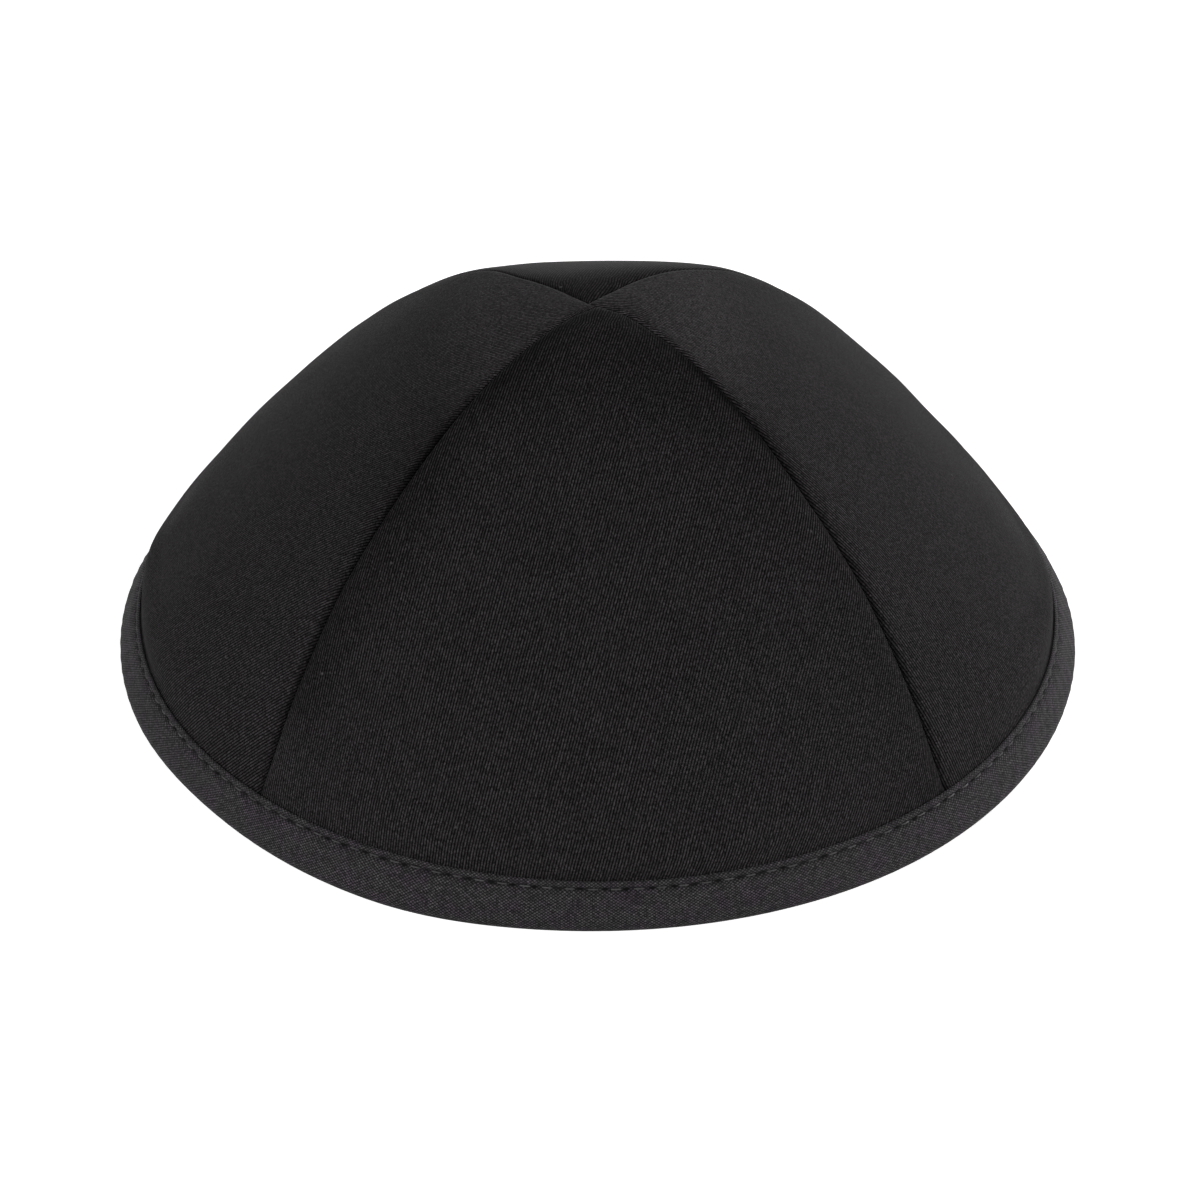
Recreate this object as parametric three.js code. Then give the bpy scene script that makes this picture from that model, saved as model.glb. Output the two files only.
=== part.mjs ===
// A four-panel skullcap of black twill with a bound rim, standing on its rim.
// Millimetres, +Z up. The origin is the middle of the rim's circle, on the table that it stands on.
// The front panel faces -Y and the right panel faces +X.
import * as THREE from 'three';

// Bound rim: a tape folded over the lower edge of the panels, leaning inwards as the crown does.
const RIM_RADIUS = 90;
const RIM_RING_HEIGHT = 1.9;
const BINDING_TOP_RADIUS = 86.1;
const BINDING_TOP_HEIGHT = 8.7;
const BINDING_WALL = 1.0;
const BINDING_FOLD_HEIGHT = 1.4;
const BINDING_REST = { inner: 87.2, outer: 88.9 };
const BINDING_SIDES = 64;

// Crown: four equal panels of cloth, sewn together along four seams that meet at the top.
const PANEL_NAMES = ['front_panel', 'right_panel', 'back_panel', 'left_panel'];
const PANEL_WALL = 1.2;
const GAP = 0.3;
const CROWN_HEIGHT = 71.0;

// Each line from the binding to the crown is one cubic curve. It leaves the binding at an angle
// above the horizontal and comes down to the crown's middle at another, in degrees, and each
// pull is the length of a handle, so that a longer one holds its direction further.
const SEAM_LINE = { rise: 67.3, risePull: 43.3, dip: 7.3, dipPull: 29.4 };
const MIDDLE_LINE = { rise: 95, risePull: 7.0, dip: 15, dipPull: 28.5 };

// Section across a panel: this share of it is a parabola, which leaves a soft ridge at the
// seams, and the rest is a cosine, which has none.
const RIDGE_SHARE = 0.8;

// The middle of a panel puffs out just above the binding.
const PUFF = 1.2;
const PUFF_REACH = 0.17;

// The cloth rolls down into each seam, and the binding presses that groove flat again.
const GROOVE_DEPTH = 0.9;
const GROOVE_REACH = 2.6;
const GROOVE_RUN_IN = 0.06;

// Mesh steps along a panel, and across its half, as shares counted from the seam.
const ROWS = 16;
const HALF_COLUMNS = [0, 0.02, 0.05, 0.125, 0.25, 0.375, 0.5, 0.625, 0.75, 0.875];
const TANGENT_STEP = 0.002;
const CROWN_BLEND = 3;

const COLOURS = {
  twill: { color: 0x211f20, roughness: 0.85, metalness: 0 },
  binding: { color: 0x2d2b2f, roughness: 0.9, metalness: 0 },
};

// Directions along and out of the binding's outer face, as radius and height.
const bandUp = new THREE.Vector2(
  BINDING_TOP_RADIUS - RIM_RADIUS,
  BINDING_TOP_HEIGHT - RIM_RING_HEIGHT,
).normalize();
const bandOut = new THREE.Vector2(bandUp.y, -bandUp.x);

// Point at a depth below the binding's outer face and at a height above the table.
function bandPoint(depth, height) {
  const start = new THREE.Vector2(RIM_RADIUS, RIM_RING_HEIGHT).addScaledVector(bandOut, -depth);
  return start.addScaledVector(bandUp, (height - start.y) / bandUp.y);
}

// Point at a depth below the upper corner of the binding's outer face.
function bandTop(depth) {
  const corner = new THREE.Vector2(BINDING_TOP_RADIUS, BINDING_TOP_HEIGHT);
  return corner.addScaledVector(bandOut, -depth);
}

// The hem's inner corner hangs lower than its outer one, and stands clear of the tape's fold.
const SKIN_DEPTH = BINDING_WALL + GAP;
const HEM_HEIGHT = BINDING_FOLD_HEIGHT + GAP + PANEL_WALL * bandOut.y;
const hem = bandPoint(SKIN_DEPTH, HEM_HEIGHT);
const panelBase = bandPoint(SKIN_DEPTH, BINDING_TOP_HEIGHT);

function crownLine({ rise, risePull, dip, dipPull }) {
  const up = THREE.MathUtils.degToRad(rise);
  const down = THREE.MathUtils.degToRad(dip);
  return new THREE.CubicBezierCurve(
    panelBase.clone(),
    new THREE.Vector2(panelBase.x - risePull * Math.cos(up), panelBase.y + risePull * Math.sin(up)),
    new THREE.Vector2(dipPull * Math.cos(down), CROWN_HEIGHT + dipPull * Math.sin(down)),
    new THREE.Vector2(0, CROWN_HEIGHT),
  );
}

const seamLine = crownLine(SEAM_LINE);
const middleLine = crownLine(MIDDLE_LINE);

// Share of the middle line in the section across a panel, 0 at the seams and 1 in the middle.
function middleShare(across) {
  const parabola = 1 - across * across;
  const cosine = 0.5 * (1 + Math.cos(Math.PI * across));
  return RIDGE_SHARE * parabola + (1 - RIDGE_SHARE) * cosine;
}

// Radius and height of the smooth outer surface, without its puff and grooves. Along runs from
// -1 at the hem, through 0 where the panel leaves the binding, to 1 at the crown, and across
// from -1 at one seam to 1 at the other.
function smoothPoint(along, across) {
  if (along < 0) return panelBase.clone().lerp(hem, -along);
  return seamLine.getPoint(along).lerp(middleLine.getPoint(along), middleShare(across));
}

// Direction out of the surface in the upright plane through the axis.
function outwardAt(along, across) {
  const start = along < 0 ? along : Math.max(0, along - TANGENT_STEP);
  const low = smoothPoint(start, across);
  const high = smoothPoint(Math.min(1, start + 2 * TANGENT_STEP), across);
  const tangent = high.sub(low).normalize();
  return new THREE.Vector2(tangent.y, -tangent.x);
}

function puffAt(along, across) {
  if (along < 0 || along > PUFF_REACH) return 0;
  return PUFF * middleShare(across) * Math.sin(Math.PI * along / PUFF_REACH) ** 2;
}

// Depth of the sewn groove, from the distance to the nearest seam.
function grooveAt(along, across, radius) {
  const runIn = THREE.MathUtils.clamp(along / GROOVE_RUN_IN, 0, 1);
  const fromSeam = radius * Math.sin((1 - Math.abs(across)) * Math.PI / PANEL_NAMES.length);
  const closeness = Math.max(0, 1 - fromSeam / GROOVE_REACH);
  return GROOVE_DEPTH * runIn * closeness ** 2;
}

// Point of the panel's cloth in space, at a depth below its outer surface. The panel is made
// facing -Y, and each seam edge keeps half the gap to the seam's plane.
function clothPoint(along, across, depth) {
  const profile = smoothPoint(along, across);
  const outward = outwardAt(along, across);
  outward.x *= Math.min(1, profile.x / CROWN_BLEND);
  const lift = puffAt(along, across) - grooveAt(along, across, profile.x);
  profile.addScaledVector(outward, lift - depth);
  const halfCorner = Math.PI / PANEL_NAMES.length;
  const radius = Math.max(profile.x, GAP / 2 / Math.sin(halfCorner));
  const halfAngle = Math.max(0, halfCorner - Math.asin(GAP / 2 / radius));
  const azimuth = across * halfAngle;
  return new THREE.Vector3(radius * Math.sin(azimuth), -radius * Math.cos(azimuth), profile.y);
}

function acrossStations() {
  const left = HALF_COLUMNS.map((share) => share - 1);
  const right = HALF_COLUMNS.map((share) => 1 - share).reverse();
  return [...left, 0, ...right];
}

// One closed body: an outer and an inner skin, joined along the hem and the two seam edges.
// Both skins run together to a single corner at the crown.
function panelGeometry() {
  const columns = acrossStations();
  const rows = [-1];
  for (let row = 0; row < ROWS; row++) rows.push(row / ROWS);
  const skins = [0, PANEL_WALL];
  const positions = [];
  for (const depth of skins) {
    for (const along of rows) {
      for (const across of columns) positions.push(...clothPoint(along, across, depth).toArray());
    }
    positions.push(...clothPoint(1, 0, depth).toArray());
  }
  const width = columns.length;
  const skinSize = rows.length * width + 1;
  const corner = (skin, row, column) => skin * skinSize + row * width + column;
  const tip = (skin) => (skin + 1) * skinSize - 1;
  const lastRow = rows.length - 1;
  const lastColumn = width - 1;
  const index = [];
  const quad = (a, b, c, d) => index.push(a, b, c, a, c, d);
  for (let column = 0; column < lastColumn; column++) {
    for (let row = 0; row < lastRow; row++) {
      quad(corner(0, row, column), corner(0, row, column + 1),
        corner(0, row + 1, column + 1), corner(0, row + 1, column));
      quad(corner(1, row, column + 1), corner(1, row, column),
        corner(1, row + 1, column), corner(1, row + 1, column + 1));
    }
    index.push(corner(0, lastRow, column), corner(0, lastRow, column + 1), tip(0));
    index.push(corner(1, lastRow, column + 1), corner(1, lastRow, column), tip(1));
    quad(corner(1, 0, column), corner(1, 0, column + 1), corner(0, 0, column + 1), corner(0, 0, column));
  }
  for (let row = 0; row < lastRow; row++) {
    quad(corner(1, row, 0), corner(0, row, 0), corner(0, row + 1, 0), corner(1, row + 1, 0));
    quad(corner(0, row, lastColumn), corner(1, row, lastColumn),
      corner(1, row + 1, lastColumn), corner(0, row + 1, lastColumn));
  }
  quad(corner(1, lastRow, 0), corner(0, lastRow, 0), tip(0), tip(1));
  quad(corner(0, lastRow, lastColumn), corner(1, lastRow, lastColumn), tip(1), tip(0));
  const geometry = new THREE.BufferGeometry();
  geometry.setAttribute('position', new THREE.Float32BufferAttribute(positions, 3));
  geometry.setIndex(index);
  geometry.computeVertexNormals();
  return geometry;
}

// Section of the folded tape as radius and height: a flat strip that rests on the table, the
// outer leg, the slot that takes the panels' hems, and the inner leg.
function bindingSection() {
  const slotInner = BINDING_WALL + GAP + PANEL_WALL + GAP;
  const fullDepth = slotInner + BINDING_WALL;
  const roundOuter = [
    new THREE.Vector2(BINDING_REST.outer, 0),
    new THREE.Vector2(RIM_RADIUS, 0.2),
    new THREE.Vector2(RIM_RADIUS, RIM_RING_HEIGHT),
  ];
  const outerFold = new THREE.QuadraticBezierCurve(...roundOuter).getPoints(3);
  const innerFoot = bandPoint(fullDepth, 1);
  const innerFold = new THREE.QuadraticBezierCurve(
    innerFoot,
    bandPoint(fullDepth, 0),
    new THREE.Vector2(BINDING_REST.inner, 0),
  ).getPoints(2);
  const edge = BINDING_WALL * 0.3;
  return [
    ...outerFold,
    bandTop(0).addScaledVector(bandUp, -edge),
    bandTop(edge),
    bandTop(BINDING_WALL),
    bandPoint(BINDING_WALL, BINDING_FOLD_HEIGHT),
    bandPoint(slotInner, BINDING_FOLD_HEIGHT),
    bandTop(slotInner),
    bandTop(fullDepth),
    ...innerFold,
  ];
}

function bindingGeometry() {
  const section = bindingSection();
  const geometry = new THREE.LatheGeometry([...section, section[0].clone()], BINDING_SIDES);
  geometry.rotateX(Math.PI / 2);
  return geometry;
}

function addPiece(group, name, geometry, finish) {
  const piece = new THREE.Mesh(geometry, new THREE.MeshStandardMaterial(finish));
  piece.name = name;
  group.add(piece);
  return piece;
}

const cap = new THREE.Group();
PANEL_NAMES.forEach((name, turn) => {
  const panel = addPiece(cap, name, panelGeometry(), COLOURS.twill);
  panel.rotation.z = turn * 2 * Math.PI / PANEL_NAMES.length;
});
addPiece(cap, 'rim_binding', bindingGeometry(), COLOURS.binding);

export default cap;
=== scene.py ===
"""Dresses a round cloth skullcap: four twill panels, a stitched rim binding, and a plain studio."""

import logging
import math
import random
from dataclasses import dataclass
from enum import Enum
from functools import lru_cache, reduce

import bmesh
import bpy
import numpy as np
from mathutils import Matrix, Vector, noise


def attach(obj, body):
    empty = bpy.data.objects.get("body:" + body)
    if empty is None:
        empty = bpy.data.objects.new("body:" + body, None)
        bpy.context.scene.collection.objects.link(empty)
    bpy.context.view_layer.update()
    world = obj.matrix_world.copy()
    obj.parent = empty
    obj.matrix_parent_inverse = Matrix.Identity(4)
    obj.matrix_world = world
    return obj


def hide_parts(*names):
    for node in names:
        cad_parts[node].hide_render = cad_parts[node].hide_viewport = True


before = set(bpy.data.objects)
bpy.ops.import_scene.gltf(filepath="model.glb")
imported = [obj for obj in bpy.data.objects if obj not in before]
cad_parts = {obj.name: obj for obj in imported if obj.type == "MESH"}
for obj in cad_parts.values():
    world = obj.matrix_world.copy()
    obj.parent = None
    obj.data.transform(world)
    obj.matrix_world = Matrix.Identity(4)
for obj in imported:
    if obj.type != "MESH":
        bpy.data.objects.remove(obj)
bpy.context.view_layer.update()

Pair = tuple[float, float]
Triple = tuple[float, float, float]
Colour = tuple[float, float, float, float]
Socket = bpy.types.NodeSocket
Outputs = bpy.types.NodeOutputs
Node = bpy.types.Node

MM = 0.001
BODY = "root"
QUARTER = math.pi / 2
HALF_PANEL = QUARTER / 2
FULL_TURN = 2 * math.pi
TINY = 1e-6
WHITE = (1.0, 1.0, 1.0, 1.0)
UPRIGHT = {"cent": (0, 0, 0), "axis": (0, 0, 1), "dvec": (0, 0, 0)}
log = logging.getLogger("skullcap")


class Side(Enum):
    """The four panels of the crown, in quarter turns from the front."""

    FRONT = 0
    RIGHT = 1
    BACK = 2
    LEFT = 3

    @property
    def node(self) -> str:
        """Name of the solid that this panel stands for."""
        return f"{self.name.lower()}_panel"

    @property
    def turn(self) -> Matrix:
        """Turn about the upright axis from the front panel to this one."""
        return Matrix.Rotation(self.value * QUARTER, 4, "Z")

    @property
    def under(self) -> float:
        """Is 1 where its edges lie under its neighbours' in the seams, and -1 where they lie on top."""
        return 1.0 if self in (Side.FRONT, Side.BACK) else -1.0


class Face(Enum):
    """The two faces of the binding that the row of stitches shows on."""

    OUTER = "outer"
    INNER = "inner"


# Curves and places that several pieces use.


def smoothstep(value: float, low: float, high: float) -> float:
    """Eases from 0 at low to 1 at high."""
    share = min(1.0, max(0.0, (value - low) / (high - low)))
    return share * share * (3 - 2 * share)


def between(value: float, rise: Pair, fall: Pair) -> float:
    """Eases from 0 to 1 over the first span, and back to 0 over the second."""
    return smoothstep(value, *rise) * (1 - smoothstep(value, *fall))


def bell(away: float, spread: float) -> float:
    """Falls from 1 at no distance towards 0 past the spread."""
    return math.exp(-((away / spread) ** 2))


def bezier(points: list[Vector], share: float) -> Vector:
    """Finds a point on a Bezier curve.

    Args:
        points: The curve's control points, from its start to its end.
        share: How far along the curve, from 0 to 1.

    Returns:
        The point at that share.
    """
    while len(points) > 1:
        points = [a.lerp(b, share) for a, b in zip(points, points[1:])]
    return points[0]


def at_turn(turn: float, radius: float, height: float) -> Vector:
    """Point at an angle round the upright axis, counted from the front."""
    return Vector((radius * math.sin(turn), -radius * math.cos(turn), height))


def turn_of(point: Vector) -> float:
    """Angle of a point round the upright axis, counted from the front."""
    return math.atan2(point.x, -point.y)


def turn_across(distance: float, radius: float) -> float:
    """Angle at the upright axis that spans a distance sideways at a radius."""
    return math.asin(max(-1.0, min(1.0, distance / radius))) if radius > TINY else 0.0


def turned_by(degrees: float, axis: str) -> Matrix:
    """Turn about one of the axes."""
    return Matrix.Rotation(math.radians(degrees), 4, axis)


def fill_in(values: np.ndarray, axis: int, step: int, count: int) -> np.ndarray:
    """Interpolates an array along one axis, from every few places to all of them."""
    known = np.arange(0, count, step)
    return np.apply_along_axis(lambda line: np.interp(np.arange(count), known, line), axis, values)


# Shapes of the rim's band, the crown and the cloth's edges.


@dataclass(frozen=True)
class RimStretch:
    """A stretch of the rim that differs from the rest: azimuth and spread in degrees, and how much."""

    azimuth: float
    spread: float
    amount: float

    def at(self, turn: float) -> float:
        """The amount at an angle round the rim, which fades to both sides."""
        aside = (math.degrees(turn) - self.azimuth + 180.0) % 360.0 - 180.0
        return self.amount * bell(aside, self.spread)


@dataclass(frozen=True)
class Band:
    """The leaning band of the rim, as radius and height in millimetres."""

    rim_radius: float = 89.8
    ring_height: float = 1.9
    top_radius: float = 86.1
    top_height: float = 8.7
    leg: float = 0.56
    gap: float = 0.05
    fold_height: float = 1.4
    hem_gap: float = 0.3
    panel_wall: float = 0.7
    waves: tuple[RimStretch, ...] = (
        RimStretch(-98.0, 18.0, 0.40),
        RimStretch(-52.0, 14.0, -0.80),
        RimStretch(-22.0, 11.0, 0.60),
        RimStretch(10.0, 24.0, -0.70),
        RimStretch(50.0, 22.0, -0.20),
        RimStretch(92.0, 22.0, 0.65),
    )
    wave_heights: Pair = (0.8, 7.8)

    @property
    def up(self) -> Vector:
        """Direction up the band's outer face."""
        return Vector((self.top_radius - self.rim_radius, self.top_height - self.ring_height)).normalized()

    @property
    def out(self) -> Vector:
        """Direction out of the band's outer face."""
        return Vector((self.up.y, -self.up.x))

    @property
    def length(self) -> float:
        """Length of the band's outer face from the rim to its upper edge."""
        return math.hypot(self.top_radius - self.rim_radius, self.top_height - self.ring_height)

    def sway(self, turn: float, height: float) -> float:
        """How far the rim stands out at an angle and a height, which ends below the row of stitches."""
        return sum(wave.at(turn) for wave in self.waves) * (1 - smoothstep(height, *self.wave_heights))

    def point(self, depth: float, height: float) -> Vector:
        """Point at a depth below the band's outer face and a height above the table."""
        start = Vector((self.rim_radius, self.ring_height)) - depth * self.out
        return start + self.up * ((height - start.y) / self.up.y)

    def below_top(self, distance: float, depth: float) -> Vector:
        """Point at a distance down the band from its upper edge and a depth below its outer face."""
        return Vector((self.top_radius, self.top_height)) - distance * self.up - depth * self.out


@dataclass(frozen=True)
class CrownLine:
    """A line from the binding up to the crown: two angles in degrees and two pulls in millimetres."""

    rise: float
    rise_pull: float
    dip: float
    dip_pull: float

    def at(self, base: Vector, height: float, share: float) -> Vector:
        """Finds a point on the line.

        Args:
            base: Where the line leaves the binding, as radius and height.
            height: Height of the crown's middle.
            share: How far up the line, from 0 to 1.

        Returns:
            The point as radius and height.
        """
        up, down = math.radians(self.rise), math.radians(self.dip)
        leave = base + self.rise_pull * Vector((-math.cos(up), math.sin(up)))
        arrive = Vector((self.dip_pull * math.cos(down), height + self.dip_pull * math.sin(down)))
        return bezier([base, leave, arrive, Vector((0, height))], share)


@dataclass(frozen=True)
class CrownShape:
    """The crown's smooth outer surface, in millimetres.

    A place on a panel is given as along, from -1 at the hem, through 0 at the binding, to 1 at the
    crown, and across, from -1 at one seam to 1 at the other.
    """

    band: Band = Band()
    height: float = 71.0
    seam: CrownLine = CrownLine(67.3, 43.3, 7.3, 29.4)
    middle: CrownLine = CrownLine(95.0, 7.0, 15.0, 28.5)
    ridge_share: float = 0.8
    puff: float = 0.7
    puff_reach: float = 0.17
    crown_blend: float = 3.0
    tangent_step: float = 0.002

    def middle_share(self, across: float) -> float:
        """Share of the middle line in the section across a panel, 0 at a seam and 1 in the middle."""
        cosine = 0.5 * (1 + math.cos(math.pi * across))
        return self.ridge_share * (1 - across * across) + (1 - self.ridge_share) * cosine

    def profile(self, along: float, across: float) -> Vector:
        """Radius and height of the smooth surface."""
        seam, middle = self.rails(along)
        return seam.lerp(middle, self.middle_share(across))

    @lru_cache(maxsize=None)
    def rails(self, along: float) -> tuple[Vector, Vector]:
        """Finds the seam line's and the middle line's points at one height.

        Args:
            along: The place from the hem to the crown.

        Returns:
            The two points as radius and height, which are the same inside the binding.
        """
        band = self.band
        hidden = band.leg + band.gap
        base = band.point(hidden, band.top_height)
        if along < 0:
            hem_height = band.fold_height + band.hem_gap + band.panel_wall * band.out.y
            inside = base.lerp(band.point(hidden, hem_height), -along)
            return inside, inside
        return self.seam.at(base, self.height, along), self.middle.at(base, self.height, along)

    def outward(self, along: float, across: float) -> Vector:
        """Finds the direction out of the smooth surface in the upright plane.

        Args:
            along: The place from the hem to the crown.
            across: The place from seam to seam.

        Returns:
            A vector as radius and height, which leans upright near the crown's middle.
        """
        start = along if along < 0 else max(0.0, along - self.tangent_step)
        low = self.profile(start, across)
        high = self.profile(min(1.0, start + 2 * self.tangent_step), across)
        tangent = (high - low).normalized()
        return Vector((tangent.y * min(1.0, low.x / self.crown_blend), -tangent.x))

    def puff_at(self, along: float, across: float) -> float:
        """How far the cloth puffs out just above the binding."""
        share = along / self.puff_reach if 0 < along < self.puff_reach else 0.0
        return self.puff * self.middle_share(across) * math.sin(math.pi * share) ** 2


@dataclass(frozen=True)
class SeamRoll:
    """How a panel's edge rolls down into a seam and turns under.

    Lengths are in millimetres. The two slopes are the roll's depth where the edge lies over its
    neighbour and under it. The lapped and flatter spans run along the panel, and the fades by the
    crown's radius. fold_layers holds the turned edge's depths in layers of cloth, and fold_place
    its middle, as shares of the allowance and of the seam's depth.
    """

    reach: float = 4.2
    reach_share: float = 0.5
    crowding: float = 1.8
    over_slope: float = 0.15
    under_slope: float = 0.8
    lapped_low: Pair = (0.2, 0.45)
    lapped_high: Pair = (0.5, 0.74)
    flatter_top: float = 0.55
    flatter_span: Pair = (0.5, 0.75)
    slope_depth: float = 0.95
    lip_reach: float = 0.9
    lip_share: float = 0.2
    lip_depth: float = 1.0
    half_gap: float = 0.01
    sewn_depth: float = 0.6
    sewn_bend: float = 0.12
    allowance: float = 4.5
    allowance_share: float = 0.55
    fold_layers: Triple = (1.9, 2.9, 2.1)
    fold_place: Pair = (0.45, 0.3)
    cloth: float = 0.7
    run_in: float = 0.06
    hem_share: float = 0.25
    crown_fade: Pair = (-4.0, 5.0)
    cloth_fade: Pair = (0.0, 4.0)
    shoulder_steps: int = 12
    sewn_steps: int = 4
    turn_steps: int = 9

    @property
    def steps(self) -> int:
        """Columns of cloth from the roll's start to the raw edge."""
        return self.shoulder_steps + self.sewn_steps + self.turn_steps

    def tuck(self, along: float) -> float:
        """How far one edge lies under the other, from 0 to 1, at a place from the hem to the crown."""
        return smoothstep(along, *self.lapped_high) + 0.5 - 0.5 * smoothstep(along, *self.lapped_low)

    def reach_at(self, radius: float) -> float:
        """Distance from the seam where the cloth starts to roll, which shrinks near the crown's middle."""
        return min(self.reach, self.reach_share * radius)

    def path(self, radius: float, along: float, under: float) -> list[Pair]:
        """Traces the cloth's outer face from the roll's start to the raw edge under the panel.

        Args:
            radius: Radius of the crown at this height.
            along: The place from the hem to the crown.
            under: Is 1 where this edge lies under its neighbour, and -1 where it lies on top.

        Returns:
            Points as distance from the seam's plane and depth below the smooth surface.
        """
        reach = self.reach_at(radius)
        lip = min(self.lip_reach, self.lip_share * radius)
        thick = smoothstep(radius, *self.cloth_fade)
        pressed = self.hem_share + (1 - self.hem_share) * smoothstep(along, -self.run_in, self.run_in)
        pressed *= smoothstep(radius, *self.crown_fade)
        pressed *= 1 - self.flatter_top * smoothstep(along, *self.flatter_span)
        target = self.under_slope if under > 0 else self.over_slope
        slope_depth = self.slope_depth + (target - self.slope_depth) * self.tuck(along)
        lip_depth = self.slope_depth + self.lip_depth - slope_depth
        points = []
        for step in range(1, self.shoulder_steps + 1):
            away = (1 - step / self.shoulder_steps) ** self.crowding
            near = 1 - min(1.0, away * reach / lip) if lip > TINY else 0.0
            sunk = slope_depth * (1 - away) ** 2 + lip_depth * (1 - math.sqrt(1 - near * near))
            points.append((reach * away + self.half_gap, sunk * pressed))
        depth = points[-1][1]
        sewn = self.sewn_depth * thick
        bend = self.sewn_bend * thick * under
        for step in range(1, self.sewn_steps + 1):
            share = step / self.sewn_steps
            points.append((self.half_gap - bend * math.sin(math.pi * share), depth + sewn * share))
        edge = min(self.allowance, self.allowance_share * radius)
        dip, middle, end = (layers * self.cloth * thick for layers in self.fold_layers)
        aside, rise = self.fold_place
        turned = [
            Vector(points[-1]),
            Vector((self.half_gap, depth + sewn + dip)),
            Vector((aside * edge, depth * rise + middle)),
            Vector((edge, end)),
        ]
        for step in range(1, self.turn_steps + 1):
            points.append(tuple(bezier(turned, step / self.turn_steps)))
        return points


@dataclass(frozen=True)
class Hollow:
    """A soft dent in the crown: where it is, in degrees and millimetres, and its size."""

    azimuth: float
    height: float
    spread: float
    depth: float

    def at(self, point: Vector) -> float:
        """Finds the dent's depth.

        Args:
            point: A point on the crown, in millimetres.

        Returns:
            The depth there, which is below 0 for a swell.
        """
        turned = turn_of(point) - math.radians(self.azimuth)
        aside = point.xy.length * (turned - FULL_TURN * round(turned / FULL_TURN))
        return self.depth * bell(math.hypot(aside, point.z - self.height), self.spread)


@dataclass(frozen=True)
class Drape:
    """Slow unevenness of hand-sewn cloth: soft dents and swells over the whole crown, in millimetres."""

    settle: float = 0.45
    settle_rise: Pair = (20.0, 34.0)
    settle_fall: Pair = (52.0, 64.0)
    hollows: tuple[Hollow, ...] = (
        Hollow(-131.0, 46.0, 9.0, 0.30),
        Hollow(-140.0, 58.0, 9.0, 0.28),
        Hollow(-95.0, 13.0, 9.0, -0.80),
        Hollow(118.0, 45.0, 18.0, 0.35),
        Hollow(106.0, 28.0, 8.0, 0.30),
        Hollow(101.0, 18.0, 13.0, 0.55),
        Hollow(109.0, 14.0, 9.0, 0.65),
        Hollow(119.0, 24.0, 7.0, 0.40),
        Hollow(124.0, 32.0, 7.0, -0.30),
        Hollow(135.0, 54.0, 9.0, -0.25),
        Hollow(150.0, 65.0, 11.0, -0.40),
    )
    wide_size: float = 34.0
    wide_height: float = 0.30
    fine_size: float = 11.0
    fine_height: float = 0.10
    seed: float = 4.3

    def at(self, point: Vector) -> float:
        """Finds how far the cloth stands out.

        Args:
            point: A point on the crown, in millimetres.

        Returns:
            The height of the unevenness, which may be negative.
        """
        shift = Vector((self.seed, 2 * self.seed, -self.seed))
        wide = self.wide_height * noise.noise(point / self.wide_size + shift)
        fine = self.fine_height * noise.noise(point / self.fine_size - shift)
        settled = self.settle * between(point.z, self.settle_rise, self.settle_fall)
        return wide + fine - settled - sum(hollow.at(point) for hollow in self.hollows)


@dataclass(frozen=True)
class CrownJoin:
    """How the four seams meet: one runs through, and the others end on it a little apart, in millimetres."""

    front_end: float = 1.0
    back_end: float = -0.7
    sideways: float = 2.2
    settle: float = 7.0
    fade: Pair = (16.0, 30.0)
    back_shift: float = 0.7

    def through(self, place: float) -> float:
        """Sideways offset of the through seam at a distance along it, below 0 towards the back."""
        start, end = self.fade
        return self.sideways * between(place, (-end, -start), (self.back_end, self.settle))

    def shift(self, side: Side, radius: float, across: float) -> Vector:
        """Finds how far a point near the crown's middle moves on the plan.

        Args:
            side: The panel that it is on.
            radius: Its distance from the middle.
            across: Its place from seam to seam.

        Returns:
            The move in x and y.
        """
        forwards, sideways = Vector((1, -1)).normalized(), Vector((-1, -1)).normalized()
        at_front = side in (Side.FRONT, Side.LEFT)
        end = self.front_end if at_front else self.back_end
        near = 1 - smoothstep(radius, 0.0, self.settle)
        heading = radius if side in (Side.FRONT, Side.RIGHT) else -radius
        through = end * near * forwards + self.through(heading + end * near) * sideways
        short = near * (end * forwards + self.through(end) * sideways)
        if not at_front:
            short -= (1 - near) * self.back_shift * (1 - smoothstep(radius, *self.fade)) * forwards
        on_through = across if side in (Side.FRONT, Side.BACK) else -across
        return short.lerp(through, smoothstep(on_through, -1.0, 1.0))


@dataclass(frozen=True)
class SeamShift:
    """A seam whose lower end is sewn off to one side: azimuth in degrees, and millimetres."""

    azimuth: float
    offset: float
    spread: float = 24.0
    heights: Pair = (18.0, 42.0)

    def at(self, turn: float, radius: float, height: float) -> float:
        """How far a point moves round the crown, above 0 towards the right panel."""
        turned = (turn - math.radians(self.azimuth) + math.pi) % FULL_TURN - math.pi
        return self.offset * bell(radius * turned, self.spread) * (1 - smoothstep(height, *self.heights))


@dataclass(frozen=True)
class PaintedShading:
    """Painted shade on one panel, or painted light where depth is below 0: beside a seam (edge -1 or 1) or
    round its top (edge 0).
    """

    side: Side
    edge: int
    depth: float
    reach: float
    heights: Pair
    ends: Pair = (90.0, 91.0)

    def at(self, side: Side, point: Vector, away: float) -> float:
        """Finds how much painted shade darkens the cloth.

        Args:
            side: The panel that the point is on.
            point: The point in millimetres, on a panel that faces the front.
            away: Its distance from the nearest seam, in millimetres.

        Returns:
            The share of the colour that painted shade takes away, below 0 where painted light lightens it.
        """
        if side is not self.side or self.edge * point.x < 0:
            return 0.0
        beside = bell(away, self.reach) if self.edge else 1.0
        return self.depth * beside * between(point.z, self.heights, self.ends)


# Wiring and finishes.


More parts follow.
